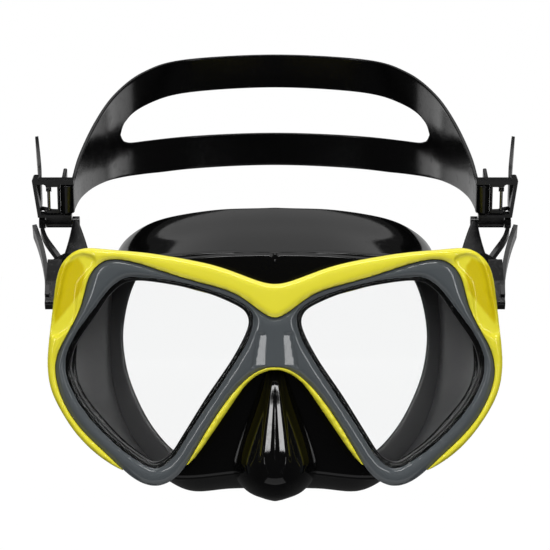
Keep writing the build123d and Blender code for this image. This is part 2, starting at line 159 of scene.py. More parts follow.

# %% [markdown]
# ## Plastics, silicones and steel
# Nearly all of the mask is black or grey, so what tells one part from another is how sharply it mirrors the lights. The
# frame is glossy plastic under a clear coat. The skirt's outside comes from a polished mould, its inside and its seal
# from a satin one, which is softer to the skin and doesn't glare. The strap lies between the two. The silicone is black
# all through, but its satin inside and seal are painted a lighter grey: a painted sheen for the light those walls
# catch.

# %% A material with the skin
def material(name, colour, roughness, drift, scuff, ripple, **sockets):
    """A Principled material whose colour, roughness and normal come from the moulded skin."""
    made = bpy.data.materials.new(name)
    made.use_nodes = True
    tree = made.node_tree
    shader = tree.nodes["Principled BSDF"]
    skin = tree.nodes.new("ShaderNodeGroup")
    skin.node_tree = moulded_skin
    for label, value in (("Colour", (*colour, 1)), ("Drift", drift), ("Roughness", roughness), ("Scuff", scuff),
                         ("Ripple", ripple)):
        skin.inputs[label].default_value = value
    for label, target in (("Colour", "Base Color"), ("Roughness", "Roughness"), ("Normal", "Normal")):
        tree.links.new(skin.outputs[label], shader.inputs[target])
    for key, value in sockets.items():
        shader.inputs[key.replace("_", " ")].default_value = value
    return made


# %% The colours
YELLOW_COAT = 0.5
# Painted shade: a darker yellow that stands in for the shade falling in the recessed corner panels.
PANEL_SHADE_YELLOW = (0.66, 0.53, 0.006)

yellow_plastic = material("yellow plastic", (0.87, 0.79, 0.045), 0.14, drift=0.05, scuff=0.06, ripple=0.05,
                          Coat_Weight=YELLOW_COAT, Coat_Roughness=0.05)
grey_plastic = material("grey plastic", (0.078, 0.088, 0.095), 0.15, drift=0.08, scuff=0.07, ripple=0.05,
                        Coat_Weight=0.5, Coat_Roughness=0.04)
black_silicone = material("black silicone", (0.0016, 0.0016, 0.0017), 0.07, drift=0.25, scuff=0.07, ripple=0.05,
                          Specular_IOR_Level=0.42)
# Painted sheen: the skirt's satin inside and its seal are the same black silicone, painted a lighter grey for the light
# they catch.
satin_silicone_painted_sheen = material("satin silicone with painted sheen", (0.085, 0.085, 0.086), 0.45, drift=0.2, scuff=0.08, ripple=0.03)
seal_silicone_painted_sheen = material("seal silicone with painted sheen", (0.042, 0.042, 0.0425), 0.35, drift=0.2, scuff=0.08, ripple=0.03)
strap_silicone = material("strap silicone", (0.0016, 0.0016, 0.0017), 0.17, drift=0.25, scuff=0.1, ripple=0.07,
                          Specular_IOR_Level=0.4)
black_plastic = material("black plastic", (0.003, 0.003, 0.0033), 0.2, drift=0.2, scuff=0.1, ripple=0.1)
roller_plastic = material("roller plastic", (0.008, 0.008, 0.0085), 0.38, drift=0.2, scuff=0.1, ripple=0.2)
steel = material("pin steel", (0.2, 0.2, 0.21), 0.22, drift=0.1, scuff=0.2, ripple=0.1, Metallic=1.0)
print("materials:", len(bpy.data.materials))

# %% [markdown]
# ## Tempered glass
# Each pane is flat and clear, with a trace of green. A see-through sheet would be quicker to render, but it wouldn't
# show the pane's thickness at the edges. So the pane is glass that bends light, with a thin, uneven film on it, as on
# any pane that has been handled.

# %% Glass
PANE_TINT = (0.965, 0.972, 0.972, 1)
PANE_IOR = 1.45
FILM_SCALE, FILM_START, FILM_FULL, FILM_ROUGHNESS = 55.0, 0.5, 0.8, 0.03


def glass_material():
    """Clear tempered glass with a trace of green and a smeared film."""
    made = bpy.data.materials.new("tempered glass")
    made.use_nodes = True
    tree = made.node_tree
    shader = tree.nodes["Principled BSDF"]
    for label, value in (("Base Color", PANE_TINT), ("Transmission Weight", 1.0), ("IOR", PANE_IOR)):
        shader.inputs[label].default_value = value
    place = node(tree, "ShaderNodeTexCoord")
    smear = node(tree, "ShaderNodeTexNoise", Scale=FILM_SCALE, Detail=4.0)
    tree.links.new(place.outputs["Object"], smear.inputs["Vector"])
    film = stretch(tree, smear.outputs["Fac"], FILM_START, FILM_FULL, 0.0, FILM_ROUGHNESS)
    tree.links.new(film, shader.inputs["Roughness"])
    return made


glass = glass_material()
print("glass:", glass.name)

# %% [markdown]
# ## The painted shade of the corner panels
# Each outer corner of the yellow frame has a shallow recessed panel with a thinner coat, which makes it duller. The
# shade that falls in the panel is painted in as a darker, more saturated yellow. It isn't a part of its own, so it gets
# no material of its own. The piece stores where its panels are, and the yellow reads that.

# %% Let the yellow paint shade into the panels
def paint_recess_shade(made, colour, coat):
    """Paints shade in as a darker colour, and thins the coat, where the piece's stored panel marks say so."""
    tree = made.node_tree
    shader = tree.nodes["Principled BSDF"]
    plain = shader.inputs["Base Color"].links[0].from_socket
    where = node(tree, "ShaderNodeAttribute", attribute_name="recess_shade")
    painted_shade = node(tree, "ShaderNodeMixRGB")
    # Painted shade: this colour is mixed in inside the corner panels.
    painted_shade.inputs["Color2"].default_value = (*colour, 1)
    tree.links.new(where.outputs["Fac"], painted_shade.inputs["Fac"])
    tree.links.new(plain, painted_shade.inputs["Color1"])
    tree.links.new(painted_shade.outputs["Color"], shader.inputs["Base Color"])
    tree.links.new(stretch(tree, where.outputs["Fac"], 0.0, 1.0, coat, 0.0), shader.inputs["Coat Weight"])


paint_recess_shade(yellow_plastic, PANEL_SHADE_YELLOW, YELLOW_COAT)
print("the yellow reads the attribute recess")

# %% Give each solid its finish
finishes = {"frame_shell": yellow_plastic, "lens_retainer": grey_plastic, "skirt": black_silicone,
            "strap": strap_silicone}
for side in ("left", "right"):
    finishes[f"lens_{side}"] = glass
    finishes[f"roller_{side}"] = roller_plastic
    for piece in ("strap_arm", "buckle_body", "lever"):
        finishes[f"{piece}_{side}"] = black_plastic
    for piece in ("swivel_pin", "lever_pin", "lever_spring"):
        finishes[f"{piece}_{side}"] = steel
    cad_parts[f"lens_{side}"].visible_shadow = False
for name, finish in finishes.items():
    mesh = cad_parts[name].data
    mesh.materials.clear()
    mesh.materials.append(finish)
print("finishes given to", len(finishes), "nodes")

# %% [markdown]
# ## Measures
# All measures are millimetres, as on a drawing. The depth of a point is counted back from the very front of the mask,
# and the lenses are swept back a little at each side, so the depth of the whole front grows with the distance from the
# middle.

# %% Measures in millimetres
MM = 0.001
FACE_DEPTH = 50.0
FACE_RADIUS = 150.0
SWEEP = tan(radians(7))
SWEEP_ROUNDING = 3


def at(x, depth, z):
    """A point in millimetres, depth counted back from the front of the frame."""
    return Vector((x * MM, (depth - FACE_DEPTH) * MM, z * MM))


def drop(x):
    """How far the swept front lies behind its middle at that x, rounded over the nose."""
    return SWEEP * sqrt(x * x + SWEEP_ROUNDING ** 2)


def face_depth(x):
    """Depth of the wearer's face, a gentle drum, at that x."""
    return FACE_DEPTH + FACE_RADIUS - sqrt(FACE_RADIUS ** 2 - x * x)


def clamp(value):
    """The value, kept from 0 to 1."""
    return min(max(value, 0.0), 1.0)


print("the front drops", round(drop(80), 1), "mm at the temples, the face", round(face_depth(60) - FACE_DEPTH, 1))

# %% [markdown]
# ## Lines to build on
# Nearly every edge of a mask is a free curve. A maker draws it with a few points and lets a smooth curve run through
# them. These helpers do the same, and hand back points that lie close together, spaced as each piece needs.

# %% Smooth lines through a few points
LOOP_STEPS = 10


def between(table, value):
    """The height at value on the straight pieces between the (place, height) pairs of a table."""
    for (a, low), (b, high) in zip(table, table[1:]):
        if value <= b:
            return low + (high - low) * clamp((value - a) / (b - a))
    return table[-1][1]


def on_curve(before, start, stop, after, t):
    """The point at t on the smooth curve from start to stop, with its neighbours before and after."""
    return 0.5 * (2 * start + (stop - before) * t + (2 * before - 5 * start + 4 * stop - after) * t ** 2
                  + (3 * start - before - 3 * stop + after) * t ** 3)


def smooth_line(points, steps):
    """Points close together on a smooth line through the given ones."""
    points = [Vector(p) for p in points]
    ends = [2 * points[0] - points[1], *points, 2 * points[-1] - points[-2]]
    line = [on_curve(*four, k / steps) for four in zip(ends, ends[1:], ends[2:], ends[3:]) for k in range(steps)]
    return line + [points[-1]]


def closed_line(points):
    """Points close together on a smooth loop through the given ones."""
    loop = [Vector(p) for p in points]
    fours = [[loop[(k + shift) % len(loop)] for shift in (-1, 0, 1, 2)] for k in range(len(loop))]
    return [on_curve(*four, step / LOOP_STEPS) for four in fours for step in range(LOOP_STEPS)]


print("a loop gets", LOOP_STEPS, "points between two given ones")

# %% Even spacing, mirrored halves and the window's outline
SHORTEST = 1e-9


def evenly(line, count):
    """The same line with count points at equal distances."""
    lengths = [0.0]
    for a, b in zip(line, line[1:]):
        lengths.append(lengths[-1] + (b - a).length)
    result = []
    k = 0
    for i in range(count):
        target = lengths[-1] * i / (count - 1)
        while k < len(line) - 2 and lengths[k + 1] < target:
            k += 1
        part = (target - lengths[k]) / max(lengths[k + 1] - lengths[k], SHORTEST)
        result.append(line[k].lerp(line[k + 1], clamp(part)))
    return result


def both_halves(points):
    """A half outline together with its mirror image."""
    return points + [(-x, z) for x, z in reversed(points[1:-1])]


window = [(-53, -0.9), (-38.4, -2.2), (-23.7, -5.7), (-12.7, -10.2), (-8.6, -14), (-8.6, -19.5), (-14.2, -31.1),
          (-23.7, -45.8), (-33.2, -60.4), (-38.5, -68), (-43.8, -71), (-49, -69.3), (-61, -60.4), (-70.9, -49.4),
          (-76, -40), (-77.4, -33), (-75, -24.5), (-66.9, -12.8), (-60.3, -4.6)]
print("window outline:", len(window), "points")

# %% [markdown]
# ## The skirt
# On the real mask the skirt is one moulding of soft silicone: a bowl that narrows towards the face, a thin seal that
# turns in against the skin, a seat round each lens and a pocket for the nose. It could be carved from one block, but
# glossy black silicone shows every wobble in its highlights. So each wall is drawn as a row of smooth rings, one ring
# extruded from the last, and gets its thickness afterwards.

# %% The skirt's outlines by depth, half of each, from the brow round the temple to the upper lip
ROUND = 168
STEPS_BETWEEN = 12
FRONT_SECTION = 13
skirt_sections = {
    FRONT_SECTION: [(0, 6.4), (-20, 5.7), (-35, 4.4), (-50, 4.0), (-61, 3), (-70.5, -3), (-77.5, -15), (-80.5, -31),
                    (-78, -43), (-67.5, -56), (-56.5, -66), (-45, -72.5), (-33, -74), (-17, -72.4), (0, -72)],
    35: [(0, 18.8), (-20, 17.7), (-36, 14.4), (-50, 11), (-60, 6), (-66.5, -3), (-72.2, -15), (-74.6, -30),
         (-72.6, -43.5), (-64.5, -56), (-55.5, -66.5), (-44.5, -75.5), (-32, -81.5), (-17, -80.5), (0, -80)],
    54: [(0, 28), (-20, 26.8), (-37, 23.3), (-50, 18.5), (-59.5, 11), (-64, 0), (-66, -14), (-66.5, -28),
         (-65, -43), (-61, -56), (-54.5, -67), (-45, -76), (-33.5, -83), (-17, -82.3), (0, -82)],
    72: [(0, 33), (-20, 32), (-37, 28), (-50, 21.5), (-60.5, 13), (-64.5, 0), (-66, -14), (-66.5, -28),
         (-65, -43), (-61, -56), (-54.5, -67), (-45, -76.5), (-33.5, -83.5), (-17, -82.8), (0, -82.5)],
}
face_opening = [(0, 13), (-25, 13), (-44, 8), (-54, -3), (-58.5, -20), (-57.5, -35), (-53, -48), (-46, -60),
                (-37, -69), (-26, -73), (-12, -74), (0, -74)]


def round_points(half):
    """A half outline and its mirror image as even points, from the middle of the brow."""
    side = evenly(smooth_line(half, STEPS_BETWEEN), ROUND // 2 + 1)
    return side + [Vector((-p.x, p.y)) for p in reversed(side[1:-1])]


section_rings = {depth: round_points(half) for depth, half in skirt_sections.items()}
section_depths = sorted(section_rings)
print("sections:", section_depths, "of", ROUND, "points")


# %% Any point of the skirt's outline
def skirt_point(index, depth):
    """One point of the skirt's outline at any depth, smooth from section to section."""
    table = [section_rings[d][index] for d in section_depths]
    k = max(i for i, front in enumerate(section_depths[:-1]) if depth >= front or i == 0)
    t = (depth - section_depths[k]) / (section_depths[k + 1] - section_depths[k])
    start, stop = table[k], table[k + 1]
    before = table[k - 1] if k else 2 * start - stop
    after = table[k + 2] if k + 2 < len(table) else 2 * stop - start
    return on_curve(before, start, stop, after, t)


print("brow at the seal:", [round(v, 1) for v in skirt_point(0, FACE_DEPTH)])

# %% [markdown]
# ## Walls from rings
# A soft wall has one smooth outside and one smooth inside at an even distance. Drawing both would double the work and
# never keep the distance. So only one side is drawn: Solidify adds the other, and one level of subdivision rounds the
# rims. The two sides can have different finishes, because Solidify can pick the next material for the side it adds.

# %% Turn a drawn surface into a wall
WELD = 1e-5
ROUNDING_LEVEL = 1


def sort_parts(parts, key):
    """Sorts the points, edges or faces of a bmesh by a key that may be more than one number."""
    rank = {part: place for place, part in enumerate(sorted(parts, key=key))}
    parts.sort(key=rank.get)
    parts.index_update()


def fixed_order(bm):
    """Sorts a mesh by place, because extruding can leave its parts in another order on each run."""
    sort_parts(bm.verts, lambda vertex: tuple(vertex.co))
    for parts in (bm.edges, bm.faces):
        sort_parts(parts, lambda part: sorted(vertex.index for vertex in part.verts))


def object_from(name, bm):
    """An object in the scene that holds the finished bmesh."""
    mesh = bpy.data.meshes.new(name)
    bm.to_mesh(mesh)
    bm.free()
    made = bpy.data.objects.new(name, mesh)
    bpy.context.scene.collection.objects.link(made)
    return made


def finish_wall(name, bm, inside, thickness, wall_finishes, hollow_shift=0):
    """Turns a drawn surface into an object with thickness on its hollow side, where the point inside lies."""
    bmesh.ops.remove_doubles(bm, verts=bm.verts, dist=WELD)
    bmesh.ops.recalc_face_normals(bm, faces=bm.faces)
    outward = sum((face.calc_center_median() - inside).dot(face.normal) for face in bm.faces)
    if outward < 0:
        bmesh.ops.reverse_faces(bm, faces=bm.faces)
    for face in bm.faces:
        face.smooth = True
    fixed_order(bm)
    piece = object_from(name, bm)
    for finish in wall_finishes:
        piece.data.materials.append(finish)
    wall = piece.modifiers.new("wall", "SOLIDIFY")
    wall.thickness = thickness * MM
    wall.offset = -1
    wall.material_offset = hollow_shift
    skin = piece.modifiers.new("skin", "SUBSURF")
    skin.levels = skin.render_levels = ROUNDING_LEVEL
    print(name, "faces:", len(piece.data.polygons))
    return piece


print("walls get", ROUNDING_LEVEL, "level of subdivision")


# %% Build a wall ring by ring
def set_ring(vertices, points):
    """Moves a ring's vertices onto the points."""
    for vertex, point in zip(vertices, points):
        vertex.co = point


def ring_wall(name, rings, inside, thickness, wall_finishes, marks, hollow_shift=0):
    """A wall that runs through the rings. A mark numbers the finish of the strip that leads to its ring, and a strip
    past the last mark takes the finish of the strip before it."""
    bm = bmesh.new()
    ring = bmesh.ops.create_circle(bm, cap_ends=False, segments=len(rings[0]), radius=1.0)["verts"]
    set_ring(ring, rings[0])
    rim = list(bm.edges)
    for number, points in enumerate(rings[1:], 1):
        grown = bmesh.ops.extrude_edge_only(bm, edges=rim)["geom"]
        for face in grown:
            if isinstance(face, bmesh.types.BMFace) and number < len(marks):
                face.material_index = marks[number]
        fresh = {v for v in grown if isinstance(v, bmesh.types.BMVert)}
        rim = [e for e in grown if isinstance(e, bmesh.types.BMEdge) and all(v in fresh for v in e.verts)]
        ring = [next(e.other_vert(v) for e in v.link_edges if e.other_vert(v) in fresh) for v in ring]
        set_ring(ring, points)
    return finish_wall(name, bm, inside, thickness, wall_finishes, hollow_shift)


print("a wall can run through any number of rings")

# %% [markdown]
# ### The bowl and its seal
# The bowl is what the wearer looks through from behind: a tunnel from the lenses to the face. Its front edge is tucked
# in behind the front wall, so that no gap can open between them. At the face it turns in to a thin lip that follows the
# brow and the cheeks. The wall is glossy outside and satin inside, and the lip is satin on both sides. The satin sides
# are painted a lighter grey than the black outside: a painted sheen.

# %% The bowl and its turned-in seal
SKIRT_FRONT = 15.1
SEAL_GAP = 0.4
NEAR_FRONT, NEAR_FACE = 18, 58
TUCK, TUCK_DEPTH, TUCK_HEIGHT = 0.08, 0.25, -33
BOWL_WALL = 1.7
BOWL_HOLLOW = at(0, 38, -30)
WALL_STEPS = (0, 0.03, 0.1, 0.2, 0.32, 0.45, 0.58, 0.7, 0.8, 0.88, 0.94, 0.975, 1)
SEAL_STEPS = (0.14, 0.35, 0.6, 0.85, 1)
# Painted sheen: the satin sides get the lighter grey painted on the black silicone.
GLOSSY_OUT_SHEEN_PAINTED_IN, SHEEN_PAINTED_BOTH = 0, 2


def bowl_rings():
    """Rings from behind the front wall, back along the bowl, and in along the seal."""
    tucked = []
    fronts = [SKIRT_FRONT + drop(skirt_point(k, NEAR_FRONT).x) for k in range(ROUND)]
    backs = [face_depth(skirt_point(k, NEAR_FACE).x) - SEAL_GAP for k in range(ROUND)]
    for k, front in enumerate(fronts):
        p = skirt_point(k, front)
        p = p.lerp(Vector((0.5 * p.x, TUCK_HEIGHT)), TUCK)
        tucked.append(at(p.x, SKIRT_FRONT + TUCK_DEPTH + drop(p.x), p.y))
    rings = [tucked]
    for part in WALL_STEPS:
        ring = []
        for k, (front, back) in enumerate(zip(fronts, backs)):
            depth = front + (back - front) * part
            p = skirt_point(k, depth)
            ring.append(at(p.x, depth, p.y))
        rings.append(ring)
    opening = round_points(face_opening)
    for part in SEAL_STEPS:
        inner = [skirt_point(k, back).lerp(opening[k], part) for k, back in enumerate(backs)]
        rings.append([at(p.x, face_depth(p.x) - SEAL_GAP, p.y) for p in inner])
    return rings


skirt_bowl = ring_wall("skirt_bowl", bowl_rings(), BOWL_HOLLOW, BOWL_WALL,
                       (black_silicone, satin_silicone_painted_sheen, seal_silicone_painted_sheen, seal_silicone_painted_sheen),
                       [GLOSSY_OUT_SHEEN_PAINTED_IN] * (1 + len(WALL_STEPS)) + [SHEEN_PAINTED_BOTH] * len(SEAL_STEPS), hollow_shift=1)

# %% [markdown]
# ### The front wall and the lens seats
# Round each lens the skirt has a seat: a lip that lies behind the glass, a short tunnel and a flat wall out to the edge
# of the bowl. Rings fit it well, if each point of a ring lies in its own direction from the middle of the window. Where
# the window and the outer edge have different shapes, the rings then change slowly from one to the other.

# %% Distances from the window's centre
DIRECTIONS = 150
window_centre = Vector((-43.0, -33.0))
directions = [-pi + 2 * pi * k / DIRECTIONS for k in range(DIRECTIONS)]
lip_corner = (-12.2, -72)
outer_side = skirt_sections[FRONT_SECTION][:-1] + [lip_corner]
nose_side = [lip_corner, (-12, -67), (-9.2, -58), (-5.4, -48), (-1.8, -40), (-0.3, -37), (0, -35.5)]
middle_line = [Vector((0, z)) for z in range(-35, 7)]


def by_angle(points):
    """The distance of an outline from the window's centre, in even directions."""
    polar = sorted((atan2(p.y - window_centre.y, p.x - window_centre.x), (p - window_centre).length) for p in points)
    polar = [(polar[-1][0] - 2 * pi, polar[-1][1]), *polar, (polar[0][0] + 2 * pi, polar[0][1])]
    return [between(polar, angle) for angle in directions]


window_reach = by_angle(closed_line(window))
front_reach = by_angle(smooth_line(outer_side, 10) + evenly(smooth_line(nose_side, 8), 60) + middle_line)
print("window reach:", round(min(window_reach), 1), "to", round(max(window_reach), 1), "mm")

# %% How much of the seat shows, and how far the front wall reaches past the outline
INNER_SIDE, INNER_SHARE = -9, 0.61
OVERLAP = 0.9
SPREAD = (-2, -1, 0, 1, 2)
seat_showing = [between([(-pi, 1), (0.7, 1), (1.0, 0.78), (2.2, 0.78), (2.6, 1), (pi, 1)], angle)
                for angle in directions]
beyond = [0.0 if window_centre.x + far * cos(angle) > INNER_SIDE and k / DIRECTIONS < INNER_SHARE else OVERLAP
          for k, (far, angle) in enumerate(zip(front_reach, directions))]
front_more = [sum(beyond[(k + j) % DIRECTIONS] for j in SPREAD) / len(SPREAD) for k in range(DIRECTIONS)]
print("seat shows:", min(seat_showing), "to", max(seat_showing))

# %% The rings of one front
SEAT_WALL = 1.5
SEAT_INSET = 1.3
lip_profile = ((-0.8, 6.5), (0.4, 6.35), (1.3, 6.4), (1.6, 6.9), (1.7, 8), (1.7, 11.5), (1.6, 14.2))
wall_profile = ((0.0, 15.0), (0.12, SKIRT_FRONT), (0.4, SKIRT_FRONT), (0.8, SKIRT_FRONT), (0.95, SKIRT_FRONT))
rim_profile = ((-0.25, SKIRT_FRONT), (0.05, SKIRT_FRONT), (0.9, SKIRT_FRONT + 2.2))
FRONT_HOLLOW_DEPTH = 4
# Painted sheen: the satin strips of the seat get the lighter grey painted on the black silicone.
GLOSSY, SATIN_PAINTED_SHEEN, STRAP_LIKE = 0, 1, 2
front_marks = [GLOSSY] + [STRAP_LIKE] * 4 + [SATIN_PAINTED_SHEEN] * 3 + [GLOSSY]


def seat_rings(side):
    """Rings from the lip behind the glass, back along the seat, and out to the edge of the front wall."""
    rings = []
    for inset, depth in lip_profile:
        rings.append([(reach - inset * showing, depth) for reach, showing in zip(window_reach, seat_showing)])
    for part, depth in wall_profile:
        rings.append([(near - SEAT_INSET * showing + (far - near + SEAT_INSET * showing) * part, depth)
                      for near, far, showing in zip(window_reach, front_reach, seat_showing)])
    for past, depth in rim_profile:
        rings.append([(far + more + past, depth) for far, more in zip(front_reach, front_more)])
    placed = []
    for ring in rings:
        points = []
        for (reach, depth), angle in zip(ring, directions):
            x = window_centre.x + reach * cos(angle)
            z = window_centre.y + reach * sin(angle)
            points.append(at(side * x, depth + drop(x), z))
        placed.append(points)
    return placed


skirt_fronts = []
for side, sign in (("left", 1), ("right", -1)):
    hollow = at(sign * window_centre.x, FRONT_HOLLOW_DEPTH, window_centre.y)
    wall = ring_wall(f"skirt_front_{side}", seat_rings(sign), hollow, SEAT_WALL,
                     (black_silicone, satin_silicone_painted_sheen, strap_silicone), front_marks)
    wall.modifiers["wall"].offset = 1
    skirt_fronts.append(wall)

# %% [markdown]
# ### The nose pocket
# The pocket is a thin hood that the wearer can pinch through, to clear the ears. Down its front runs a raised ridge
# with a groove along its middle, and the two catch the light as a pair of bright lines. A grid suits it: one direction
# of the grid runs round the hood, the other down it, and each row is as wide and as deep as the tables say.

# %% The pocket's measures, by height
NOSE_ROOT = 20.0
NOSE_WALL = 1.8
NOSE_HOLLOW = at(0, 19, -60)
NOSE_COLUMNS = 96
NOSE_FULLNESS = 0.92
RIDGE_START, RIDGE_GROWTH = -38, 28
RIDGE_RISE, RIDGE_HALF, RIDGE_WIDENS, RIDGE_FLANK = 0.5, 0.9, 3.3, 1.6
GROOVE_DEPTH, GROOVE_HALF, GROOVE_WIDENS = 0.9, 0.2, 1.6
RIDGE_LOW, RIDGE_LOW_FADE, RIDGE_HIGH, RIDGE_HIGH_FADE = -70, 5, -36.5, 3
nose_width = [(-83.2, 2.0), (-82.2, 5.6), (-80, 10.6), (-75, 15), (-70, 15.8), (-66, 15.2), (-58, 12.5), (-48, 8.5),
              (-38, 4.8), (-35.2, 3.0)]
nose_reach = [(-83.2, -6), (-82.2, 0.5), (-80, 8), (-75, 14.2), (-70, 15.2), (-66, 14.2), (-58, 9.2), (-48, 2.8),
              (-38, -3.5), (-35.2, -8.5)]
nose_rows = [(wide.x, wide.y, deep.y) for wide, deep in zip(smooth_line(nose_width, 8), smooth_line(nose_reach, 8))]
print("nose rows:", len(nose_rows))


# %% The pocket
def make_nose_pocket():
    """A hooded pocket with a raised ridge down its front, which has a groove along the middle."""
    bm = bmesh.new()
    last = len(nose_rows) - 1
    for vertex in bmesh.ops.create_grid(bm, x_segments=NOSE_COLUMNS, y_segments=last, size=1.0)["verts"]:
        turn = (vertex.co.x + 1) / 2 * pi
        z, width, reach = nose_rows[round((vertex.co.y + 1) / 2 * last)]
        x = -width * cos(turn)
        depth = NOSE_ROOT - (NOSE_ROOT + reach) * sin(turn) ** NOSE_FULLNESS
        down = clamp((RIDGE_START - z) / RIDGE_GROWTH)
        groove = GROOVE_HALF + GROOVE_WIDENS * down
        edge = RIDGE_HALF + RIDGE_WIDENS * down
        top = -reach - RIDGE_RISE + GROOVE_DEPTH * down * max(0.0, 1 - abs(x) / groove)
        away = clamp((abs(x) - edge) / RIDGE_FLANK)
        raised = clamp(min((z - RIDGE_LOW) / RIDGE_LOW_FADE, (RIDGE_HIGH - z) / RIDGE_HIGH_FADE)) * (1 - away)
        vertex.co = at(x, depth + (top - depth) * raised, z)
    return finish_wall("nose_pocket", bm, NOSE_HOLLOW, NOSE_WALL, (black_silicone,))


nose_pocket = make_nose_pocket()

# %% Put the skirt on the mask
for piece in (skirt_bowl, *skirt_fronts, nose_pocket):
    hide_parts("skirt")
    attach(piece, "mask")
print("skirt pieces:", 2 + len(skirt_fronts))

# %% [markdown]
# ## The yellow shell and the grey bezel
# Both are injection moulded, and no face of theirs is flat: the front swells a little between its edges, and every edge
# is rolled. The solids carry the flat version. Here a copy gets an even skin, and then each point of its front is
# pushed back by an amount that grows towards the nearest edge, which is how a crowned moulding is cut.

# %% Outlines seen from the front, half of each
shell_half = [(0, -3.3), (-9.1, -1.1), (-20.1, 2.9), (-34.7, 6.2), (-49.3, 8.4), (-63, 9.6), (-73.1, 9.2), (-78.3, 5),
              (-81.5, -5.5), (-83.2, -20), (-84.2, -31), (-82.8, -42.5), (-77.5, -53), (-68.4, -64), (-58.5, -71),
              (-51, -74.2), (-44.2, -75.2), (-38.6, -73.4), (-33.6, -71), (-29.3, -67), (-24.8, -60.9),
              (-14.6, -45.8), (-9.1, -38.8), (-4.5, -35.8), (0, -34.8)]
bezel_half = [(0, -15.7), (-5.4, -13.3), (-12.7, -8), (-27.4, -2.9), (-42, 1.5), (-56, 5.4), (-63, 5), (-67.3, 1.4),
              (-70.9, -9.2), (-75.7, -20.1), (-80, -28.5), (-81.2, -35), (-78.6, -45.8), (-71.7, -56.7), (-60, -68),
              (-50, -76.2), (-43.8, -77.7), (-37.4, -75.2), (-30.3, -65.9), (-17.5, -45.8), (-9.1, -37),
              (-4.5, -34.4), (0, -33.7)]
shell_edge = closed_line(both_halves(shell_half))
bezel_edge = closed_line(both_halves(bezel_half))
window_edge = closed_line(window)
window_edges = window_edge + [Vector((-p.x, p.y)) for p in window_edge]
print("edge points:", len(shell_edge), len(bezel_edge), len(window_edges))

# %% Copy the plain solid and give it an even skin
TOUCHING = 1e-6


def copy_of(name, new_name):
    """A merged copy of one of the frame's solids as an object of its own."""
    bm = bmesh.new()
    bm.from_mesh(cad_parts[name].data)
    bmesh.ops.remove_doubles(bm, verts=bm.verts, dist=TOUCHING)
    bmesh.ops.recalc_face_normals(bm, faces=bm.faces)
    return object_from(new_name, bm)


def even_skin(piece, size):
    """Swaps the piece's mesh for one of even squares."""
    remesh = piece.modifiers.new("even skin", "REMESH")
    remesh.mode = "VOXEL"
    remesh.voxel_size = size
    bpy.context.view_layer.update()
    seen = piece.evaluated_get(bpy.context.evaluated_depsgraph_get())
    mesh = bpy.data.meshes.new_from_object(seen)
    piece.modifiers.clear()
    piece.data = mesh


print("a solid can be copied, merged and given even squares")

# %% Relax a skin
SMOOTHING = 0.5


def relax(piece, rounds):
    """Moves every point towards its neighbours, a few times."""
    bm = bmesh.new()
    bm.from_mesh(piece.data)
    for _ in range(rounds):
        bmesh.ops.smooth_vert(bm, verts=bm.verts, factor=SMOOTHING, use_axis_x=True, use_axis_y=True, use_axis_z=True)
    for face in bm.faces:
        face.smooth = True
    bm.to_mesh(piece.data)
    bm.free()


print("each round of relaxing moves a point", SMOOTHING, "of the way to its neighbours")

# %% Crown a front
FACING_FRONT = -0.35
RELAX_ROUNDS = 3


def crown(piece, edges, width, fall):
    """Pushes the front of a piece back near its edges: by fall at the edge, by nothing at width from it."""
    tree = KDTree(len(edges))
    for k, point in enumerate(edges):
        tree.insert((point.x * MM, 0, point.y * MM), k)
    tree.balance()
    fronts = [vertex for vertex in piece.data.vertices if vertex.normal.y < FACING_FRONT]
    moved = 0
    for vertex in fronts:
        away = tree.find((vertex.co.x, 0, vertex.co.z))[2] / (width * MM)
        if away < 1:
            vertex.co.y += fall * MM * (1 - sqrt(1 - (1 - away) ** 2))
            moved += 1
    print(piece.name, "points crowned:", moved)


def moulded(name, new_name, finish, size, edges, width, fall):
    """A softened and crowned stand-in for one of the hard solids."""
    piece = copy_of(name, new_name)
    even_skin(piece, size * MM)
    relax(piece, RELAX_ROUNDS)
    crown(piece, edges, width, fall)
    relax(piece, RELAX_ROUNDS)
    piece.data.materials.clear()
    piece.data.materials.append(finish)
    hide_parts(name)
    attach(piece, "mask")
    return piece


yellow_shell = moulded("frame_shell", "yellow_shell", yellow_plastic, size=0.55, edges=shell_edge + bezel_edge,
                       width=2.6, fall=1.3)

# %% [markdown]
# ### The corner panels
# The panels were recessed in the solid, and the soft copy still has them. The painted shade has to keep inside them,
# with an edge as soft as a moulded one. So each point of the shell stores how far inside the panel's outline it lies.

# %% Mark the corner panels
PANEL_EDGE = 0.8
PANEL_FACING = -0.3
corner_panel = [(-79.4, 3.2), (-72.7, 6.2), (-70.6, 3.4), (-70.2, -0.5), (-71, -5.4), (-78.3, -14.6), (-81.4, -18),
                (-81.7, -13), (-81, -5.2)]


def how_deep_inside(x, z, outline):
    """Distance from a point to the outline, in millimetres, with a minus sign outside it."""
    inside = False
    nearest = 1e9
    for (x1, z1), (x2, z2) in zip(outline, outline[1:] + outline[:1]):
        if (z1 > z) != (z2 > z) and x < (x2 - x1) * (z - z1) / (z2 - z1) + x1:
            inside = not inside
        part = clamp(((x - x1) * (x2 - x1) + (z - z1) * (z2 - z1)) / ((x2 - x1) ** 2 + (z2 - z1) ** 2))
        nearest = min(nearest, sqrt((x - x1 - part * (x2 - x1)) ** 2 + (z - z1 - part * (z2 - z1)) ** 2))
    return nearest if inside else -nearest


def mark_panel_shade(piece):
    """Stores where the shell's recessed corner panels are, for the painted shade."""
    shade = piece.data.attributes.new("recess_shade", "FLOAT", "POINT")
    marked = 0
    for vertex in piece.data.vertices:
        x, z = -abs(vertex.co.x / MM), vertex.co.z / MM
        if x < -68 and -20 < z < 8 and vertex.normal.y < PANEL_FACING:
            shade.data[vertex.index].value = clamp(how_deep_inside(x, z, corner_panel) / PANEL_EDGE + 0.5)
            marked += 1
    print("points looked at for the panels:", marked)


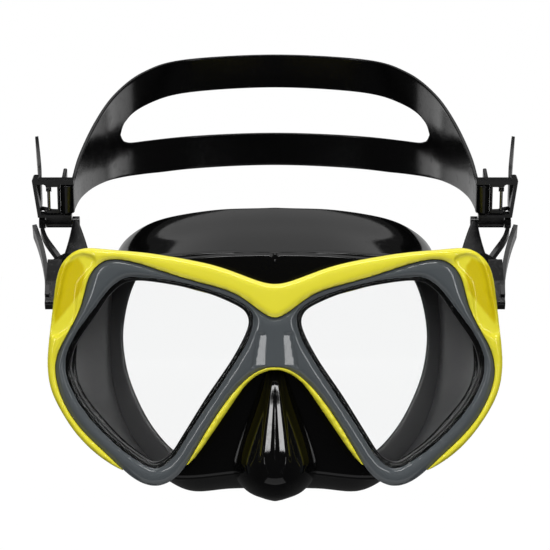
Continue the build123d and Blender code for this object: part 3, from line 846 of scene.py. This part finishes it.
mark_panel_shade(yellow_shell)

# %% [markdown]
# ### The bridge of the bezel
# Over the nose the grey ring has a flat pad with a sloping facet at each side, and a sharp change of light where they
# meet. Smoothing has rounded that change away, so the facets are laid back in: each point there moves onto the pad's
# slope, or further back beside the pad, and the change fades out at the facets' outer edges.

# %% Cut the facets
BRIDGE_HALF, BRIDGE_LOW, BRIDGE_HIGH = 9, -37, -19
BRIDGE_FRONT_METRES = -0.0445
PAD_READ_HALF, PAD_ROW = 1.5, 2
PAD_TOP, PAD_BOTTOM = -22, -30
FACET_START, FACET_RUN, FACET_TILT = -21.5, 12, 0.31
FACET_INNER, FACET_INNER_MORE, FACET_OUTER, FACET_OUTER_MORE = 2.7, 0.3, 5.8, 2.0
TOP_FADE, FACET_END, END_FADE = 0.6, -33.2, 1.5


def cut_bridge(piece):
    """Two sloping facets beside the flat pad over the nose, each with its own even tilt."""
    front = [v for v in piece.data.vertices if abs(v.co.x) < BRIDGE_HALF * MM
             and BRIDGE_LOW * MM < v.co.z < BRIDGE_HIGH * MM and v.co.y < BRIDGE_FRONT_METRES]
    rows = {}
    for vertex in front:
        if abs(vertex.co.x) < PAD_READ_HALF * MM:
            rows.setdefault(round(vertex.co.z / MM / PAD_ROW), []).append(vertex.co.y / MM)
    pad = sorted((PAD_ROW * row, sum(found) / len(found)) for row, found in rows.items())
    top, low = between(pad, PAD_TOP), between(pad, PAD_BOTTOM)
    for vertex in front:
        x, z = abs(vertex.co.x / MM), vertex.co.z / MM
        down = clamp((FACET_START - z) / FACET_RUN)
        inner, outer = FACET_INNER + FACET_INNER_MORE * down, FACET_OUTER + FACET_OUTER_MORE * down
        on_pad = top + (low - top) * (PAD_TOP - z) / (PAD_TOP - PAD_BOTTOM)
        want = on_pad + FACET_TILT * max(0.0, x - inner)
        keep = max(clamp(x - outer), clamp((z - FACET_START) / TOP_FADE), clamp((FACET_END - z) / END_FADE))
        vertex.co.y = vertex.co.y * keep + want * MM * (1 - keep)
    print("bridge points:", len(front), "pad depth:", round(top, 2), "to", round(low, 2))


grey_bezel = moulded("lens_retainer", "grey_bezel", grey_plastic, size=0.5, edges=bezel_edge + window_edges,
                     width=3.4, fall=1.6)
cut_bridge(grey_bezel)

# %% [markdown]
# ## The strap
# The strap is a flat silicone band. Each end doubles back round a roller in its buckle, and behind the head the band
# spreads and splits in two, so that it can't slip. It is drawn as two strips of squares, one above and one below the
# middle line. Where the band is whole the strips share their edge; along the slot they part.

# %% The band's own plane
RISE = radians(19.2)
SWIVEL = at(0, 48, 20.3)


def on_band(x, back, up):
    """A point in the strap's own plane, which climbs towards the back of the head."""
    y = back * cos(RISE) - up * sin(RISE)
    z = back * sin(RISE) + up * cos(RISE)
    return SWIVEL + Vector((x * MM, y * MM, z * MM))


print("the strap swings about", [round(v, 4) for v in SWIVEL])

# %% The band's path, from one tail round the head to the other
BAND_THICKNESS = 1.5
BAND_CENTRE = 9.7
ROLLER_X = 79.6
ROLLER_RADIUS, ROLLER_GAP = 1.15, 0.05
LOOP = ROLLER_RADIUS + ROLLER_GAP + BAND_THICKNESS / 2
TAIL_LENGTH = 17.0
TURN_STEPS = 12
HEAD_STEPS = 14
HALF_COUNT = 190
head_turn = [(-77.65, 6), (-76.6, 30), (-72.6, 60), (-66, 86), (-54.5, 107), (-36, 120.5), (0, 127)]
past_middle = (36, 120.5)
half_head = smooth_line([(-ROLLER_X + LOOP, 0), *head_turn, past_middle], HEAD_STEPS)[:-HEAD_STEPS]
turn = [(-ROLLER_X + LOOP * cos(a), -LOOP * sin(a)) for a in [pi * k / TURN_STEPS for k in range(TURN_STEPS + 1)]]
tail = [(-ROLLER_X - LOOP, TAIL_LENGTH * (1 - k / TURN_STEPS)) for k in range(TURN_STEPS)]
half_path = [Vector(p) for p in tail] + [Vector(p) for p in reversed(turn)] + half_head[1:]
half_path = evenly(half_path, HALF_COUNT)
band_path = half_path + [Vector((-p.x, p.y)) for p in reversed(half_path[:-1])]
print("band length:", round(sum((b - a).length for a, b in zip(band_path, band_path[1:]))), "mm")

# %% The band's edges, as half widths by the distance back
SLOT_START, SLOT_ROUND, SLOT_ROUND_HALF, SLOT_POWER, SLOT_STEPS = 89, 3, 3.9, 1.1, 10
outer_edge = [tuple(p) for p in smooth_line([(-10, 5.7), (0, 5.7), (14, 6.6), (44, 10.6), (71, 15.2), (90, 19),
                                             (106, 22.3), (118, 24.2), (140, 25)], 8)]
slot_end = [(SLOT_START + SLOT_ROUND * k / SLOT_STEPS, SLOT_ROUND_HALF * sqrt(k / SLOT_STEPS) ** SLOT_POWER)
            for k in range(1, SLOT_STEPS)]
slot_side = smooth_line([(92, 3.9), (98, 6.2), (107, 8), (117, 9.5), (127, 10.2), (140, 10.6)], 8)
slot_edge = [(-40, 0), (SLOT_START, 0)] + slot_end + [tuple(p) for p in slot_side]
print("the slot starts", SLOT_START, "mm behind the swivels")

# %% Two strips of squares, welded along the middle
ROWS = 12
STRIP_WELD = 2e-5


def band_strip(bm, side):
    """One grid of squares moved onto the upper (1) or lower (-1) half of the band."""
    last = len(band_path) - 1
    for vertex in bmesh.ops.create_grid(bm, x_segments=last, y_segments=ROWS, size=1.0)["verts"]:
        across = (vertex.co.y + 1) / 2
        x, back = band_path[round((vertex.co.x + 1) / 2 * last)]
        near, far = between(slot_edge, back), between(outer_edge, back)
        vertex.co = on_band(x, back, BAND_CENTRE + side * (near + (far - near) * across))


print("squares in a strip:", (len(band_path) - 1) * ROWS)

# %% The band
EDGE_ROUNDING, EDGE_SEGMENTS, SHARP = 0.45, 3, radians(50)


def make_band():
    """The whole band, with its thickness and rounded edges."""
    bm = bmesh.new()
    for side in (1, -1):
        band_strip(bm, side)
    bmesh.ops.remove_doubles(bm, verts=bm.verts, dist=STRIP_WELD)
    bmesh.ops.recalc_face_normals(bm, faces=bm.faces)
    for face in bm.faces:
        face.smooth = True
    band = object_from("strap_band", bm)
    wall = band.modifiers.new("thickness", "SOLIDIFY")
    wall.thickness = BAND_THICKNESS * MM
    wall.offset = 0
    edge = band.modifiers.new("rounded edge", "BEVEL")
    edge.width = EDGE_ROUNDING * MM
    edge.segments = EDGE_SEGMENTS
    edge.limit_method = "ANGLE"
    edge.angle_limit = SHARP
    band.data.materials.append(strap_silicone)
    return band


strap_band = make_band()
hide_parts("strap")
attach(strap_band, "strap_assembly")
print("band faces:", len(strap_band.data.polygons))

# %% [markdown]
# ## Smooth shading for the hard parts
# The solids arrive as flat triangles with a vertex at every corner of each face. Their meshes stay as they are, but
# they can be shaded smoothly, with the normals of flat faces weighted by area so that rounded edges read as rounded.

# %% Shade the carried-over parts
FLAT_WEIGHT = 60
for name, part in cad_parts.items():
    for face in part.data.polygons:
        face.use_smooth = True
    if name not in ("skirt", "strap"):
        weigh = part.modifiers.new("weighted normals", "WEIGHTED_NORMAL")
        weigh.mode = "FACE_AREA"
        weigh.weight = FLAT_WEIGHT
        weigh.keep_sharp = True
print("smooth parts:", len(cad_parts))

# %% [markdown]
# ## Floor, light and camera
# This is a product photograph on white, where the floor melts into the background. Black silicone shows only what it
# mirrors, and in a white room it would turn grey. So floor and room are white to the camera alone: for light that has
# bounced off something they are nearly dark, and a few soft lamps make the highlights.

# %% What the camera sees directly
def straight_look(tree):
    """1 for what the camera sees, by itself or through glass, and 0 once light has bounced off something."""
    rays = tree.nodes.new("ShaderNodeLightPath")
    bounces = node(tree, "ShaderNodeMath", operation="ADD")
    tree.links.new(rays.outputs["Diffuse Depth"], bounces.inputs[0])
    tree.links.new(rays.outputs["Glossy Depth"], bounces.inputs[1])
    unbounced = node(tree, "ShaderNodeMath", operation="LESS_THAN")
    tree.links.new(bounces.outputs[0], unbounced.inputs[0])
    unbounced.inputs[1].default_value = 0.5
    return unbounced.outputs[0], rays


print("floor and room can now tell a straight look from a bounced one")

# %% Floor
FLOOR_RADIUS = 40.0
FLOOR_GAP = 0.0005
FLOOR_GREY = 0.004


def make_floor():
    """A wide disc just under the mask that glows white for a straight look."""
    bm = bmesh.new()
    bmesh.ops.create_circle(bm, cap_ends=True, segments=96, radius=FLOOR_RADIUS)
    floor = object_from("floor", bm)
    floor.location.z = cad_box[0][2] - FLOOR_GAP
    paint = bpy.data.materials.new("floor paint")
    paint.use_nodes = True
    shader = paint.node_tree.nodes["Principled BSDF"]
    for label, value in (("Base Color", (FLOOR_GREY, FLOOR_GREY, FLOOR_GREY, 1)), ("Roughness", 0.8),
                         ("Specular IOR Level", 0.0), ("Emission Color", (1, 1, 1, 1))):
        shader.inputs[label].default_value = value
    looked_at, _ = straight_look(paint.node_tree)
    paint.node_tree.links.new(looked_at, shader.inputs["Emission Strength"])
    floor.data.materials.append(paint)
    floor.visible_glossy = False
    return floor


floor = make_floor()
print("floor at", round(floor.location.z, 4))

# %% World
ROOM_WHITE, ROOM_DIFFUSE, ROOM_MIRRORED = 1.0, 0.22, 0.04


def make_world():
    """White for a straight look, dim for diffuse light and darker still in mirror images."""
    world = bpy.data.worlds.new("studio")
    world.use_nodes = True
    tree = world.node_tree
    tree.nodes.clear()
    output = tree.nodes.new("ShaderNodeOutputWorld")
    white, room, mirrored = (node(tree, "ShaderNodeBackground", Color=(1, 1, 1, 1), Strength=strength)
                             for strength in (ROOM_WHITE, ROOM_DIFFUSE, ROOM_MIRRORED))
    looked_at, rays = straight_look(tree)
    dim = tree.nodes.new("ShaderNodeMixShader")
    mix = tree.nodes.new("ShaderNodeMixShader")
    for chosen, share, first, second in ((dim, rays.outputs["Glossy Depth"], room, mirrored),
                                         (mix, looked_at, dim, white)):
        tree.links.new(share, chosen.inputs["Fac"])
        tree.links.new(first.outputs[0], chosen.inputs[1])
        tree.links.new(second.outputs[0], chosen.inputs[2])
    tree.links.new(mix.outputs[0], output.inputs["Surface"])
    return world


bpy.context.scene.world = make_world()
print("world:", bpy.context.scene.world.name)


# %% Lights
def soft_light(name, place, target, width, height, power, mirrored=True, seen=True):
    """A soft rectangular lamp. One that isn't mirrored or isn't seen still lights the mask."""
    lamp = bpy.data.lights.new(name, "AREA")
    lamp.shape = "RECTANGLE"
    lamp.size = width
    lamp.size_y = height
    lamp.energy = power
    holder = bpy.data.objects.new(name, lamp)
    holder.location = place
    holder.rotation_euler = (Vector(target) - Vector(place)).to_track_quat("-Z", "Y").to_euler()
    holder.visible_glossy = mirrored
    holder.visible_camera = seen
    holder.visible_transmission = seen
    bpy.context.scene.collection.objects.link(holder)


soft_light("fill", (0, -2.4, 0.9), (0, 0, 0), width=2.6, height=1.8, power=45, mirrored=False)
soft_light("overhead", (0, 0.12, 1.2), (0, 0, 0), width=1.1, height=0.5, power=2.4)
soft_light("roof light", (0, 0.74, 1.12), (0, 0, 0.02), width=0.9, height=0.5, power=0.8)
soft_light("front strip", (0, -0.75, 1.3), (0, -0.05, 0), width=0.9, height=0.16, power=6.0)
soft_light("inside", (0, 1.5, 0.05), (0, 0, -0.03), width=1.2, height=0.6, power=24, mirrored=False, seen=False)
soft_light("low card", (0, -0.6, -0.9), (0, -0.06, -0.06), width=1.7, height=1.0, power=2.6, seen=False)
soft_light("backdrop", (0, 1.9, 0.25), (0, 0, 0), width=1.8, height=1.1, power=2.4, seen=False)
for name, sign in (("left", -1), ("right", 1)):
    soft_light(f"{name} strip", (0.8 * sign, -1.15, 0.25), (0, -0.05, -0.02), width=0.12, height=0.8, power=1.8)
    soft_light(f"{name} wing", (1.0 * sign, 1.15, 0.12), (0, 0, -0.02), width=0.7, height=0.45, power=0.95, seen=False)
print("lights:", len(bpy.data.lights))

# %% Camera
CAMERA_DISTANCE = 0.900
SENSOR_WIDTH = 36
FOCAL_LENGTH = 161.3
NEAREST_SEEN = 0.05
eye = bpy.data.cameras.new("camera")
eye.sensor_width = SENSOR_WIDTH
eye.lens = FOCAL_LENGTH
eye.clip_start = NEAREST_SEEN
camera = bpy.data.objects.new("camera", eye)
camera.location = (0, -CAMERA_DISTANCE - FACE_DEPTH * MM, 0)
camera.rotation_euler = (radians(90), 0, 0)
bpy.context.scene.collection.objects.link(camera)
bpy.context.scene.camera = camera
bpy.context.scene.view_settings.view_transform = "Standard"
print("camera at", [round(v, 3) for v in camera.location])
